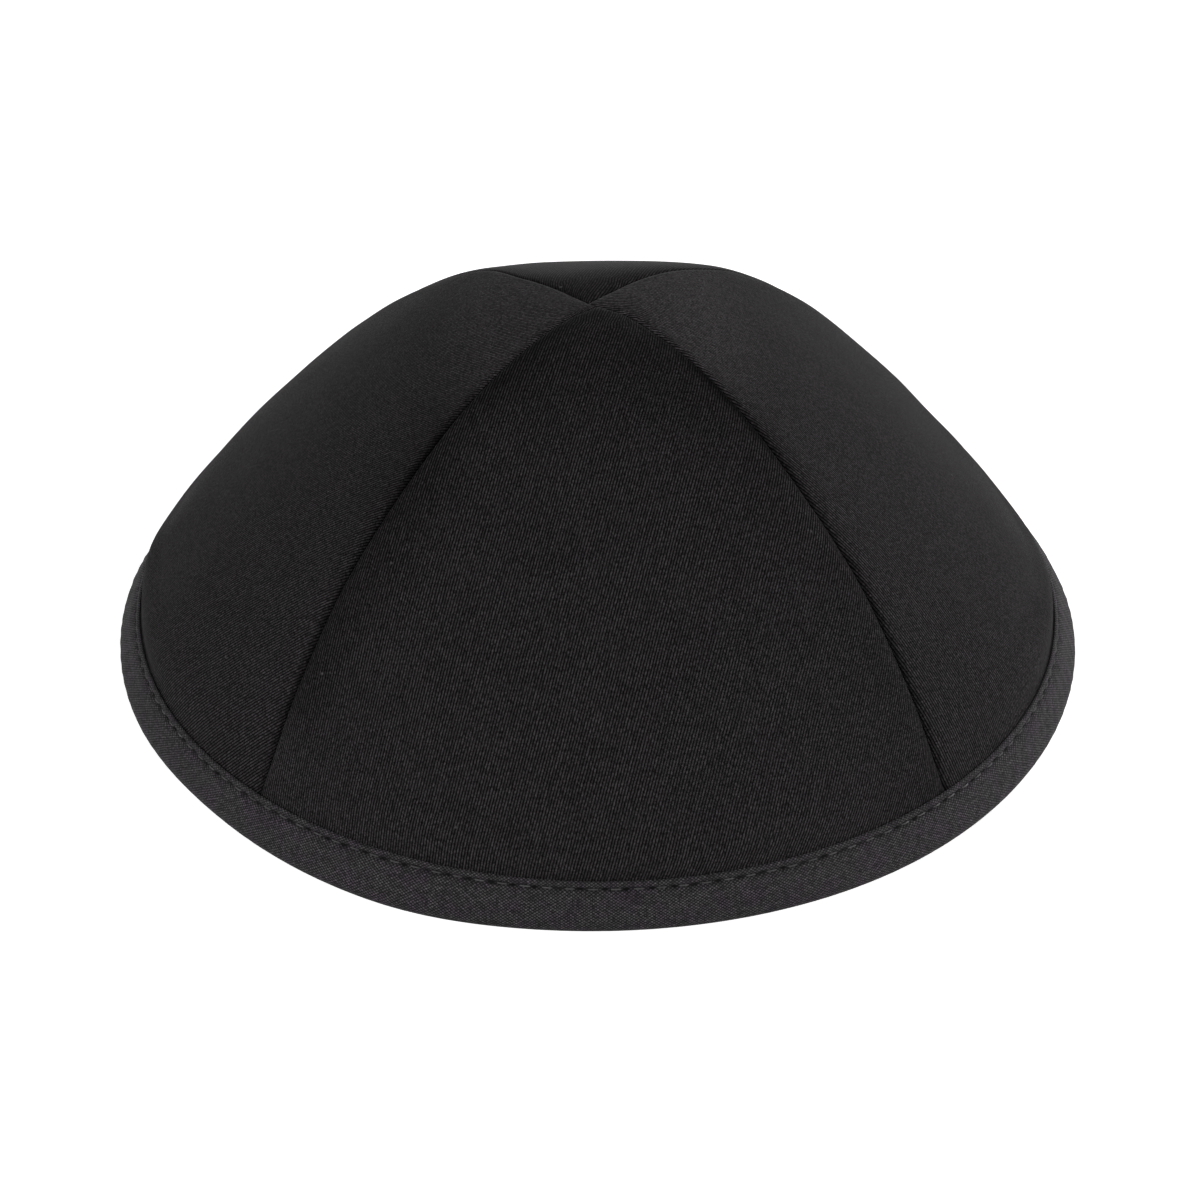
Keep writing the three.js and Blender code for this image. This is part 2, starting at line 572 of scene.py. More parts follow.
class Wiring:
    """Adds nodes to one tree and joins them, so that a finish reads as a recipe."""

    def __init__(self, tree: bpy.types.NodeTree) -> None:
        """Keeps the tree that the nodes go into."""
        self.tree = tree

    def join(self, value: object, socket: Socket) -> None:
        """Feeds a socket.

        Args:
            value: Another socket, or a number, a vector or a colour.
            socket: The input that takes it.
        """
        if isinstance(value, Socket):
            self.tree.links.new(value, socket)
        else:
            socket.default_value = value

    def feed(self, node: Node, inputs: dict[str | int, object]) -> None:
        """Feeds a node's inputs, which are given by name or place."""
        for name, value in inputs.items():
            self.join(value, node.inputs[name])

    def add(self, kind: str, inputs: dict[str | int, object] | None = None, **settings: object) -> Node:
        """Adds a node.

        Args:
            kind: The node's type, without the ShaderNode prefix.
            inputs: What feeds its inputs, by name or place.
            settings: Properties of the node.

        Returns:
            The new node.
        """
        node = self.tree.nodes.new("ShaderNode" + kind)
        for name, value in settings.items():
            setattr(node, name, value)
        self.feed(node, inputs or {})
        return node

    def group(self, tree: bpy.types.NodeTree, inputs: dict[str, object]) -> Outputs:
        """Adds a node group with its inputs, and gives its outputs."""
        return self.add("Group", inputs, node_tree=tree).outputs

    def math(self, operation: str, *values: object) -> Socket:
        """Adds a Math node."""
        return self.add("Math", dict(enumerate(values)), operation=operation).outputs[0]

    def plus(self, first: object, second: object) -> Socket:
        """Adds two numbers."""
        return self.math("ADD", first, second)

    def minus(self, first: object, second: object) -> Socket:
        """Takes the second number from the first."""
        return self.math("SUBTRACT", first, second)

    def times(self, *values: object) -> Socket:
        """Multiplies numbers."""
        return reduce(lambda first, second: self.math("MULTIPLY", first, second), values)

    def over(self, first: object, second: object) -> Socket:
        """Divides the first number by the second."""
        return self.math("DIVIDE", first, second)

    def ramp(self, value: object, low: float, high: float, start: float = 0.0, end: float = 1.0) -> Socket:
        """Maps low to start and high to end, clamped and eased."""
        inputs = {"Value": value, "From Min": low, "From Max": high, "To Min": start, "To Max": end}
        return self.add("MapRange", inputs, interpolation_type="SMOOTHSTEP").outputs[0]

    def mix(self, share: object, first: object, second: object) -> Socket:
        """Mixes two colours, by the share of the second."""
        return self.add("Mix", {0: share, 6: first, 7: second}, data_type="RGBA").outputs[2]

    def shade(self, colour: object, factor: object) -> Socket:
        """Multiplies a colour by a number."""
        return self.add("VectorMath", {0: colour, "Scale": factor}, operation="SCALE").outputs[0]

    def noise(self, vector: object, scale: object, detail: float = 2.0, roughness: float = 0.5) -> Socket:
        """Adds a three-dimensional noise of about 0 to 1."""
        inputs = {"Vector": vector, "Scale": scale, "Detail": detail, "Roughness": roughness}
        return self.add("TexNoise", inputs).outputs[0]

    def parts(self, vector: object) -> Outputs:
        """Splits a vector into x, y and z."""
        return self.add("SeparateXYZ", {0: vector}).outputs

    def turned(self, vector: object, degrees: float) -> Socket:
        """Turns a flat pattern."""
        inputs = {"Vector": vector, "Angle": math.radians(degrees)}
        return self.add("VectorRotate", inputs, rotation_type="Z_AXIS").outputs[0]


class Recipe(Wiring):
    """The wiring of a new material, with its shader and its Object coordinates."""

    def __init__(self, name: str) -> None:
        """Starts the material.

        Args:
            name: Its name.
        """
        self.material = bpy.data.materials.new(name)
        self.material.use_nodes = True
        super().__init__(self.material.node_tree)
        self.shader = self.tree.nodes["Principled BSDF"]
        self.place = self.add("TexCoord").outputs["Object"]

    def bump(self, height: object, distance: float, strength: float = 1.0) -> None:
        """Raises the surface by a pattern's height."""
        inputs = {"Strength": strength, "Distance": distance, "Height": height}
        self.join(self.add("Bump", inputs).outputs[0], self.shader.inputs["Normal"])


def new_group(name: str, takes: dict[str, float], gives: tuple[str, ...]) -> tuple[Wiring, Outputs, Node]:
    """Starts a shader node group that reads a vector.

    Args:
        name: The group's name.
        takes: Its other inputs and their defaults, all of them numbers.
        gives: Its outputs, all of them numbers.

    Returns:
        The wiring of its tree, what it is given, and its output node.
    """
    tree = bpy.data.node_groups.new(name, "ShaderNodeTree")
    tree.interface.new_socket(name="Vector", in_out="INPUT", socket_type="NodeSocketVector")
    for label, default in takes.items():
        socket = tree.interface.new_socket(name=label, in_out="INPUT", socket_type="NodeSocketFloat")
        socket.default_value = default
    for label in gives:
        tree.interface.new_socket(name=label, in_out="OUTPUT", socket_type="NodeSocketFloat")
    return Wiring(tree), tree.nodes.new("NodeGroupInput").outputs, tree.nodes.new("NodeGroupOutput")


@dataclass(frozen=True)
class YarnRibs:
    """A node group of parallel yarns that show as floats of a given length, each row shifted by a step."""

    wander_scale: float = 420.0
    slant: float = 0.35
    taper: float = 0.25

    def build(self) -> bpy.types.NodeTree:
        """Builds the group.

        Returns:
            The group, which gives the yarns' height and a shade that differs from float to float.
        """
        takes = {"Spacing": 0.0005, "Float Length": 0.001, "Step": 0.33, "On Top": 0.8, "Waver": 0.2}
        wiring, take, result = new_group("Yarn Ribs", takes, ("Height", "Shade"))
        wander = wiring.noise(take["Vector"], self.wander_scale, 1.0)
        bend = wiring.times(wiring.minus(wander, 0.5), take["Waver"])
        parts = wiring.parts(take["Vector"])
        across = wiring.plus(wiring.over(parts[0], take["Spacing"]), bend)
        row = wiring.math("FLOOR", across)
        within = wiring.math("FRACT", across)
        side = wiring.minus(wiring.times(within, 2.0), 1.0)
        round_top = wiring.minus(1.0, wiring.times(side, side))
        shift = wiring.plus(wiring.times(row, take["Step"]), wiring.times(within, self.slant))
        along = wiring.plus(wiring.over(parts[1], take["Float Length"]), shift)
        place = wiring.minus(wiring.times(wiring.math("FRACT", along), 2.0), 1.0)
        hidden = wiring.plus(take["On Top"], self.taper)
        lifted = wiring.ramp(wiring.math("ABSOLUTE", place), take["On Top"], hidden, 1.0, 0.0)
        cell = wiring.add("CombineXYZ", {0: row, 1: wiring.math("FLOOR", along)}).outputs[0]
        shade = wiring.add("TexWhiteNoise", {"Vector": cell}, noise_dimensions="2D").outputs[0]
        wiring.feed(result, {"Height": wiring.times(round_top, lifted), "Shade": shade})
        return wiring.tree


@dataclass(frozen=True)
class ClothMottle:
    """A node group of the slow change of shade over a cloth, and of its specks of lint."""

    roughness: float = 0.6
    haze_shift: Triple = (0.31, 0.17, 0.53)
    haze_scale: float = 3.1
    haze_span: Pair = (0.42, 0.68)
    lint_radius: float = 0.07
    lint_rarity: float = 0.8

    def build(self) -> bpy.types.NodeTree:
        """Builds the group.

        Returns:
            The group, which gives a factor near 1, a mask of hazy patches, and a mask of the lint.
        """
        takes = {"Patch Size": 0.01, "Amount": 0.1, "Lint Size": 0.0004}
        wiring, take, result = new_group("Cloth Mottle", takes, ("Factor", "Haze", "Lint"))
        vector = take["Vector"]
        scale = wiring.over(1.0, take["Patch Size"])
        wide = wiring.minus(wiring.noise(vector, scale, 3.0, self.roughness), 0.5)
        factor = wiring.plus(1.0, wiring.times(wide, 2.0, take["Amount"]))
        moved = wiring.add("Mapping", {"Vector": vector, "Location": self.haze_shift}).outputs[0]
        patches = wiring.noise(moved, wiring.times(scale, self.haze_scale), 2.0, self.roughness)
        cells = wiring.over(self.lint_radius, take["Lint Size"])
        spots = wiring.add("TexVoronoi", {"Vector": vector, "Scale": cells, "Randomness": 1.0}).outputs
        rare = wiring.add("SeparateColor", {0: spots["Color"]}).outputs[0]
        tight = wiring.ramp(spots["Distance"], 0.0, self.lint_radius, 1.0, 0.0)
        lint = wiring.times(tight, wiring.math("GREATER_THAN", rare, self.lint_rarity))
        wiring.feed(result, {"Factor": factor, "Haze": wiring.ramp(patches, *self.haze_span), "Lint": lint})
        return wiring.tree


@dataclass(frozen=True, kw_only=True)
class ClothFinish:
    """What the twill and the tape share: uneven yarns, fuzz, slow changes of shade, and a faint sheen.

    Sizes are in metres. The grain is the darkest yarn's shade and what the lightest adds to it, and
    the fuzz is its darkest and its lightest shade.
    """

    ribs: bpy.types.NodeTree
    mottle: bpy.types.NodeTree
    # The valley colour fills the grooves between yarns: painted shade.
    painted_valley_shade: Colour
    crispness: float
    patch_size: float
    unevenness: float
    lint_size: float
    grain: Pair
    fuzz: Pair
    fuzz_scale: float = 2300.0
    fuzz_span: Pair = (0.2, 0.8)
    fuzz_roughness: float = 0.8
    bump: float
    specular: float
    roughness: float
    sheen: float
    sheen_roughness: float = 0.30

    def mottled(self, recipe: Recipe) -> Outputs:
        """Adds the slow changes of shade and the lint, and gives the outputs of their group."""
        sizes = {"Patch Size": self.patch_size, "Amount": self.unevenness, "Lint Size": self.lint_size}
        return recipe.group(self.mottle, {"Vector": recipe.place, **sizes})

    def uneven(self, recipe: Recipe, uv: Socket, colour: Socket, yarn: Socket, slow: Socket) -> Socket:
        """Makes a colour uneven.

        Args:
            recipe: The material's recipe.
            uv: The cloth's own flat coordinates.
            colour: The even colour.
            yarn: A number from 0 to 1 that differs from float to float.
            slow: The slow change of shade.

        Returns:
            The uneven colour.
        """
        specks = recipe.noise(uv, self.fuzz_scale, 1.0, self.fuzz_roughness)
        grain = recipe.plus(self.grain[0], recipe.times(yarn, self.grain[1]))
        factor = recipe.times(grain, recipe.ramp(specks, *self.fuzz_span, *self.fuzz), slow)
        return recipe.shade(colour, factor)

    def dress(self, recipe: Recipe, colour: Socket, height: Socket) -> bpy.types.Material:
        """Feeds the shader.

        Args:
            recipe: The material's recipe.
            colour: The cloth's colour.
            height: The weave's height, from 0 to 1.

        Returns:
            The material.
        """
        recipe.bump(height, self.bump)
        inputs = {"Base Color": colour, "Specular IOR Level": self.specular, "Roughness": self.roughness}
        nap = {"Sheen Weight": self.sheen, "Sheen Roughness": self.sheen_roughness}
        recipe.feed(recipe.shader, {**inputs, **nap})
        return recipe.material


@dataclass(frozen=True, kw_only=True)
class TwillFinish(ClothFinish):
    """Black twill: fine slanted ribs with a faint sheen."""

    rib: Colour = (0.0350, 0.0324, 0.0340, 1.0)
    # The near-black valley is painted shade in the grooves between the ribs.
    painted_valley_shade: Colour = (0.0008, 0.0007, 0.0008, 1.0)
    haze: Colour = (0.0205, 0.0190, 0.0200, 1.0)
    haze_share: float = 0.12
    lint: Colour = (0.12, 0.115, 0.12, 1.0)
    lint_share: float = 0.6
    spacing: float = 0.50 * MM
    lean: float = 17.0
    float_length: float = 0.62 * MM
    float_step: float = 0.37
    on_top: float = 0.9
    waver: float = 0.13
    crispness: float = 2.0
    patch_size: float = 0.016
    unevenness: float = 0.10
    lint_size: float = 0.42 * MM
    grain: Pair = (0.72, 0.56)
    fuzz: Pair = (0.32, 1.68)
    bump: float = 0.035 * MM
    specular: float = 0.02
    roughness: float = 0.72
    sheen: float = 0.07

    def build(self) -> bpy.types.Material:
        """Builds the material on the panel's own flattened pattern coordinates.

        Returns:
            The material.
        """
        recipe = Recipe("black_twill")
        uv = recipe.add("UVMap", uv_map="pattern").outputs[0]
        weave = {"Vector": recipe.turned(uv, self.lean), "Spacing": self.spacing, "Step": self.float_step}
        floats = {"Float Length": self.float_length, "On Top": self.on_top, "Waver": self.waver}
        ribs = recipe.group(self.ribs, {**weave, **floats})
        mottle = self.mottled(recipe)
        height = ribs["Height"]
        # Grooves between the ribs take the valley colour: painted shade.
        crisp = recipe.mix(recipe.math("POWER", height, self.crispness), self.painted_valley_shade, self.rib)
        hazy = recipe.mix(recipe.times(mottle["Haze"], self.haze_share), crisp, self.haze)
        shaded = self.uneven(recipe, uv, hazy, ribs["Shade"], mottle["Factor"])
        # Painted shade beside the seams and on the front and back panels' tops, and painted light on the
        # side panels' tops, come from the panels' float attribute.
        pressed = recipe.shade(shaded, recipe.add("Attribute", attribute_name="painted_seam_shade").outputs["Fac"])
        flecked = recipe.mix(recipe.times(mottle["Lint"], self.lint_share), pressed, self.lint)
        return self.dress(recipe, flecked, height)


@dataclass(frozen=True, kw_only=True)
class TapeFinish(ClothFinish):
    """Black plain-weave tape cut on the bias, so that its yarns cross at a slant."""

    stitch_line: float
    stitch_pitch: float
    yarn: Colour = (0.0670, 0.0645, 0.0650, 1.0)
    cool_yarn: Colour = (0.0710, 0.0565, 0.0740, 1.0)
    # The valley is painted shade in the gaps between the yarns.
    painted_valley_shade: Colour = (0.004, 0.0036, 0.0041, 1.0)
    # The hole colour is painted shade in the needle holes.
    hole: Colour = (0.0008, 0.0007, 0.0008, 1.0)
    spacing: float = 0.44 * MM
    slant: float = 55.0
    on_top: float = 1.1
    waver: float = 0.25
    crispness: float = 1.3
    patch_size: float = 0.012
    unevenness: float = 0.12
    lint_size: float = 0.35 * MM
    grain: Pair = (0.55, 0.45)
    fuzz: Pair = (0.3, 1.7)
    # Painted shade along the stitches' furrow: its darkest factor and the distances where it fades.
    painted_furrow_shade: float = 0.5
    painted_furrow_span: Pair = (0.1 * MM, 0.55 * MM)
    hole_length: float = 0.74 * MM
    hole_width: float = 0.28 * MM
    hole_edge: Pair = (0.55, 1.15)
    hole_place: Pair = (0.42, 0.58)
    hole_level: Pair = (-0.1 * MM, 0.1 * MM)
    hole_strength: Pair = (0.45, 1.0)
    strong_from: float = 0.6
    bump: float = 0.05 * MM
    specular: float = 0.15
    roughness: float = 0.75
    sheen: float = 0.10

    def yarns(self, recipe: Recipe, uv: Socket, slant: float) -> Outputs:
        """Adds one of the weave's two sets of yarns.

        Args:
            recipe: The material's recipe.
            uv: The tape's own length and width.
            slant: Angle of the yarns in degrees.

        Returns:
            The outputs of the yarns' group.
        """
        weave = {"Vector": recipe.turned(uv, slant), "Spacing": self.spacing, "Step": 0.5}
        floats = {"Float Length": 2 * self.spacing, "On Top": self.on_top, "Waver": self.waver}
        return recipe.group(self.ribs, {**weave, **floats})

    def hole_shade_mask(self, recipe: Recipe, along: Socket, down: Socket) -> Socket:
        """Adds the mask of the needle holes, where the colour is darkened as painted shade.

        Args:
            recipe: The material's recipe.
            along: Distance along the tape.
            down: Distance below the line of stitches.

        Returns:
            A mask of 1 in the holes and 0 outside them.
        """
        cell = recipe.plus(recipe.over(along, self.stitch_pitch), 0.5)
        drawn = recipe.add("TexWhiteNoise", {"W": recipe.math("FLOOR", cell)}, noise_dimensions="1D").outputs
        draws = recipe.add("SeparateColor", {0: drawn["Color"]}).outputs
        middle = recipe.ramp(draws[0], 0.0, 1.0, *self.hole_place)
        beside = recipe.times(recipe.minus(recipe.math("FRACT", cell), middle), self.stitch_pitch)
        below = recipe.minus(down, recipe.ramp(draws[1], 0.0, 1.0, *self.hole_level))
        shares = {0: recipe.over(beside, self.hole_length), 1: recipe.over(below, self.hole_width)}
        offset = recipe.add("CombineXYZ", shares).outputs[0]
        distance = recipe.add("VectorMath", {0: offset}, operation="LENGTH").outputs["Value"]
        strength = recipe.ramp(draws[2], 0.0, self.strong_from, *self.hole_strength)
        return recipe.times(recipe.ramp(distance, *self.hole_edge, 1.0, 0.0), strength)

    def build(self) -> bpy.types.Material:
        """Builds the material on the tape's own length and width.

        Returns:
            The material.
        """
        recipe = Recipe("black_bias_tape")
        uv = recipe.add("UVMap", uv_map="pattern").outputs[0]
        first, second = (self.yarns(recipe, uv, slant) for slant in (self.slant, -self.slant))
        height = recipe.times(first["Height"], second["Height"])
        mottle = self.mottled(recipe)
        tinted = recipe.mix(mottle["Haze"], self.yarn, self.cool_yarn)
        crisp = recipe.mix(recipe.math("POWER", height, self.crispness), self.painted_valley_shade, tinted)
        shades = recipe.plus(first["Shade"], second["Shade"])
        shaded = self.uneven(recipe, uv, crisp, shades, mottle["Factor"])
        along, level = recipe.parts(uv)[:2]
        down = recipe.minus(level, self.stitch_line)
        # The furrow along the stitches is darkened with painted shade.
        near = recipe.ramp(recipe.math("ABSOLUTE", down), *self.painted_furrow_span, self.painted_furrow_shade, 1.0)
        # The needle holes are painted dark as painted shade.
        pierced = recipe.mix(self.hole_shade_mask(recipe, along, down), recipe.shade(shaded, near), self.hole)
        return self.dress(recipe, pierced, height)


@dataclass(frozen=True)
class ThreadFinish:
    """Black sewing thread with a twisted lay, matt but for the stretches that catch the light."""

    colour: Colour = (0.058, 0.054, 0.057, 1.0)
    dark: Colour = (0.024, 0.022, 0.024, 1.0)
    matt: float = 0.85
    shiny: float = 0.30
    specular: float = 0.9
    lay_scale: float = 3200.0
    tint_scale: float = 260.0
    contrast: Pair = (0.35, 0.65)
    bump: float = 0.04 * MM
    bump_strength: float = 0.6

    def build(self) -> bpy.types.Material:
        """Builds the material on Object coordinates and the row's own shine.

        Returns:
            The material.
        """
        recipe = Recipe("black_thread")
        lay = recipe.noise(recipe.place, self.lay_scale, 2.0, 0.6)
        tint = recipe.ramp(recipe.noise(recipe.place, self.tint_scale, 1.0), *self.contrast)
        share = recipe.times(recipe.ramp(lay, *self.contrast), tint)
        shine = recipe.add("Attribute", attribute_name="shine").outputs["Fac"]
        matt = recipe.ramp(shine, 0.0, 1.0, self.matt, self.shiny)
        colour = recipe.mix(share, self.dark, self.colour)
        recipe.bump(lay, self.bump, self.bump_strength)
        inputs = {"Base Color": colour, "Roughness": matt, "Specular IOR Level": self.specular}
        recipe.feed(recipe.shader, inputs)
        return recipe.material


@dataclass(frozen=True)
class FloorFinish:
    """Plain pale floor, matt, with a barely visible change of shade."""

    pale: Colour = (0.90, 0.90, 0.90, 1.0)
    soft: Colour = (0.885, 0.885, 0.89, 1.0)
    patch_scale: float = 3.0
    roughness: float = 0.9
    specular: float = 0.1
    glow: float = 0.68

    def build(self) -> bpy.types.Material:
        """Builds the material.

        Returns:
            The material.
        """
        recipe = Recipe("pale_floor")
        colour = recipe.mix(recipe.noise(recipe.place, self.patch_scale), self.pale, self.soft)
        glow = recipe.times(recipe.add("LightPath").outputs["Is Camera Ray"], self.glow)
        inputs = {"Base Color": colour, "Roughness": self.roughness, "Specular IOR Level": self.specular}
        recipe.feed(recipe.shader, {**inputs, "Emission Color": WHITE, "Emission Strength": glow})
        return recipe.material


# Pieces.


def finish_object(name: str, mesh: bmesh.types.BMesh, material: bpy.types.Material) -> bpy.types.Object:
    """Turns a bmesh into a smooth-shaded object at the origin.

    Args:
        name: The object's name.
        mesh: Its shape, which is freed.
        material: Its material.

    Returns:
        The new object.
    """
    for face in mesh.faces:
        face.smooth = True
    data = bpy.data.meshes.new(name)
    mesh.to_mesh(data)
    mesh.free()
    data.materials.append(material)
    piece = bpy.data.objects.new(name, data)
    bpy.context.scene.collection.objects.link(piece)
    return piece


@dataclass
class GorePanel:
    """One of the crown's four panels, with its edges rolled into the seams and turned under.

    It is shaped facing the front, in millimetres, and then turned to its own side.
    """

    side: Side
    shape: CrownShape = CrownShape()
    roll: SeamRoll = SeamRoll()
    drape: Drape = Drape()
    hem_rows: int = 4
    crown_rows: int = 116
    half_columns: int = 26
    swell_in: Pair = (0.0, 0.12)
    wall_in: Pair = (0.0, 5.0)
    thinnest: float = 0.05
    layout_step: int = 4
    layout_rounds: int = 900
    layout_memory: float = 0.9
    layout_push: float = 0.2
    # Painted shade along each seam: its strength, its reach in millimetres, and the heights where it rises
    # and fades.
    painted_seam_shade: float = 0.35
    seam_shade_reach: float = 0.9
    seam_shade_rise: Pair = (0.0, 34.0)
    seam_shade_fall: Pair = (55.0, 66.0)
    join: CrownJoin = CrownJoin()
    shifts: tuple[SeamShift, ...] = (SeamShift(-45.0, 0.95), SeamShift(45.0, -0.6))
    # Painted shade and painted light on the panels, by panel, edge, depth, reach, rising heights and fading
    # heights; a depth below 0 is painted light.
    painted_shadings: tuple[PaintedShading, ...] = (
        PaintedShading(Side.FRONT, -1, 0.36, 8.0, (16.0, 26.0), (56.0, 64.0)),
        PaintedShading(Side.FRONT, -1, 0.32, 4.2, (56.0, 64.0)),
        PaintedShading(Side.FRONT, 1, 0.15, 12.0, (0.0, 8.0)),
        PaintedShading(Side.FRONT, 1, 0.78, 1.4, (52.0, 62.0), (66.0, 72.0)),
        PaintedShading(Side.FRONT, 0, 0.15, 1.0, (60.0, 68.0)),
        PaintedShading(Side.LEFT, 1, 0.20, 7.0, (38.0, 54.0), (60.0, 67.0)),
        PaintedShading(Side.LEFT, 1, 0.34, 1.0, (50.0, 60.0)),
        PaintedShading(Side.LEFT, 0, -0.55, 1.0, (60.0, 70.0)),
        PaintedShading(Side.RIGHT, -1, 0.24, 2.7, (50.0, 62.0)),
        PaintedShading(Side.RIGHT, 0, -0.64, 1.0, (60.0, 70.5)),
        PaintedShading(Side.BACK, 0, 0.26, 1.0, (60.0, 68.0)),
    )
    flat_width: float = 143.0
    flat_length: float = 128.0
    flat_area: float = 10500.0

    @property
    def columns(self) -> int:
        """Columns of faces, from one raw edge to the other."""
        return 2 * (self.half_columns + self.roll.steps)

    @property
    def rows(self) -> int:
        """Rows of faces, from the hem to the crown."""
        return self.hem_rows + self.crown_rows

    def skin(self, along: float, azimuth: float, depth: float) -> Vector:
        """Places a point of the cloth.

        Args:
            along: The place from the hem to the crown.
            azimuth: Angle from the panel's middle, in radians.
            depth: Depth below the smooth surface.

        Returns:
            The point.
        """
        across = azimuth / HALF_PANEL
        profile = self.shape.profile(along, across)
        smooth = at_turn(azimuth, profile.x, profile.y)
        swell = self.drape.at(self.side.turn @ smooth) * smoothstep(along, *self.swell_in)
        lift = self.shape.puff_at(along, across) + swell - depth
        moved = profile + self.shape.outward(along, across) * lift
        return at_turn(azimuth, max(0.0, moved.x), moved.y)

    def row_points(self, row: int) -> list[Vector]:
        """Places one row of the cloth.

        Args:
            row: The row, from 0 at the hem.

        Returns:
            Its points, from one raw edge to the other.
        """
        past_hem = row - self.hem_rows
        along = past_hem / (self.hem_rows if past_hem < 0 else self.crown_rows)
        radius = self.shape.profile(along, 1.0).x
        open_turn = HALF_PANEL - turn_across(self.roll.reach_at(radius), radius)
        half = [(open_turn * (column / self.half_columns), 0.0) for column in range(self.half_columns + 1)]
        for distance, depth in self.roll.path(radius, along, self.side.under):
            half.append((HALF_PANEL - turn_across(distance, radius), depth))
        left = [self.skin(along, -turn, depth) for turn, depth in reversed(half)]
        return left + [self.skin(along, turn, depth) for turn, depth in half[1:]]

    def painted_shading_at(self, point: Vector) -> float:
        """Finds the painted shade beside the seams, and the painted light and shade round the panels' tops.

        Args:
            point: A point of the cloth.

        Returns:
            A factor of about 1.
        """
        away = max(0.0, (abs(point.y) - abs(point.x)) / math.sqrt(2))
        line = self.painted_seam_shade * bell(away, self.seam_shade_reach)
        line *= between(point.z, self.seam_shade_rise, self.seam_shade_fall)
        return 1 - line - sum(tone.at(self.side, point, away) for tone in self.painted_shadings)

    def settled(self, point: Vector) -> Vector:
        """Moves a point with the waves of the rim's fold and the way that the seams run and meet.

        Args:
            point: A point of the cloth.

        Returns:
            The moved point.
        """
        radius = point.xy.length
        azimuth = turn_of(point) if radius > TINY else 0.0
        turn = azimuth + self.side.value * QUARTER
        out = at_turn(azimuth, self.shape.band.sway(turn, point.z), 0.0)
        sideways = sum(shift.at(turn, radius, point.z) for shift in self.shifts)
        around = at_turn(azimuth + QUARTER, sideways, 0.0)
        across = max(-1.0, min(1.0, azimuth / HALF_PANEL))
        meeting = self.side.turn.inverted() @ self.join.shift(self.side, radius, across).to_3d()
        return point + out + around + meeting

    def flatten(self, rows: list[list[Vector]]) -> list[list[Vector]]:
        """Lays the cloth out flat, as it was cut.

        Args:
            rows: The rows of points.

        Returns:
            For each point its place on the flat pattern, in metres.
        """
        first, last = self.roll.steps, self.roll.steps + 2 * self.half_columns
        seen = np.array([[tuple(point) for point in row[first:last + 1]] for row in rows])
        step = self.layout_step
        relaxed = self.relax(seen[::step, ::step])
        full = fill_in(fill_in(relaxed, 1, step, seen.shape[1]), 0, step, seen.shape[0])
        flat = []
        for row, laid in zip(rows, full):
            places = [Vector(place) for place in laid]
            left = self.carry_on(places[1], places[0], row[first::-1])
            right = self.carry_on(places[-2], places[-1], row[last:])
            flat.append([place * MM for place in left[:0:-1] + places + right[1:]])
        return flat

    def relax(self, space: np.ndarray) -> np.ndarray:
        """Lays a grid of cloth points flat so that its threads and diagonals keep their lengths.

        Args:
            space: Rows and columns of points in space.

        Returns:
            The same grid on a plane.
        """
        high, wide = space.shape[:2]
        middle = wide // 2
        climb = np.zeros(high)
        climb[1:] = np.cumsum(np.linalg.norm(np.diff(space[:, middle], axis=0), axis=1))
        walk = np.zeros((high, wide))
        walk[:, 1:] = np.cumsum(np.linalg.norm(np.diff(space, axis=1), axis=2), axis=1)
        flat = np.stack([walk - walk[:, middle:middle + 1], np.repeat(climb[:, None], wide, axis=1)], axis=2)
        links = []
        for up, across in ((0, 1), (1, 0), (1, 1), (1, -1)):
            start = (slice(0, high - up), slice(max(0, -across), wide - max(0, across)))
            end = (slice(up, high), slice(max(0, across), wide + min(0, across)))
            links.append((start, end, np.linalg.norm(space[end] - space[start], axis=2, keepdims=True)))
        speed = np.zeros_like(flat)
        for _ in range(self.layout_rounds):
            push = np.zeros_like(flat)
            for start, end, length in links:
                gap = flat[end] - flat[start]
                now = np.maximum(np.linalg.norm(gap, axis=2, keepdims=True), 1e-9)
                pull = gap * (0.5 - 0.5 * length / now)
                push[start] += pull
                push[end] -= pull
            speed = self.layout_memory * speed + self.layout_push * push
            flat = flat + speed
        return flat

    @staticmethod
    def carry_on(before: Vector, edge: Vector, points: list[Vector]) -> list[Vector]:
        """Carries a row of the flat layout on past its edge, over the turned-under cloth.

        Args:
            before: Flat place of the last point but one.
            edge: Flat place of the last point.
            points: The points in space, from the one at the edge outwards.

        Returns:
            The flat places, from the one at the edge outwards.
        """
        heading = (edge - before).normalized() if (edge - before).length > TINY else Vector((0.0, 0.0))
        places = [edge]
        for here, there in zip(points, points[1:]):
            places.append(places[-1] + heading * (there - here).length)
        return places

    def cell(self, place: Vector) -> tuple[int, int]:
        """Row and column of a place on the unshaped grid, which runs from -1 to 1 both ways."""
        return round((place.y + 1) / 2 * self.rows), round((place.x + 1) / 2 * self.columns)

    def build(self, finish: bpy.types.Material) -> bpy.types.Object:
        """Builds and dresses the panel.

        Args:
            finish: The twill.

        Returns:
            The finished piece.
        """
        points = [self.row_points(row) for row in range(self.rows + 1)]
        flat = self.flatten(points)
        mesh = bmesh.new()
        bmesh.ops.create_grid(mesh, x_segments=self.columns, y_segments=self.rows, size=1.0)
        pattern = mesh.loops.layers.uv.new("pattern")
        weight = mesh.verts.layers.deform.verify()
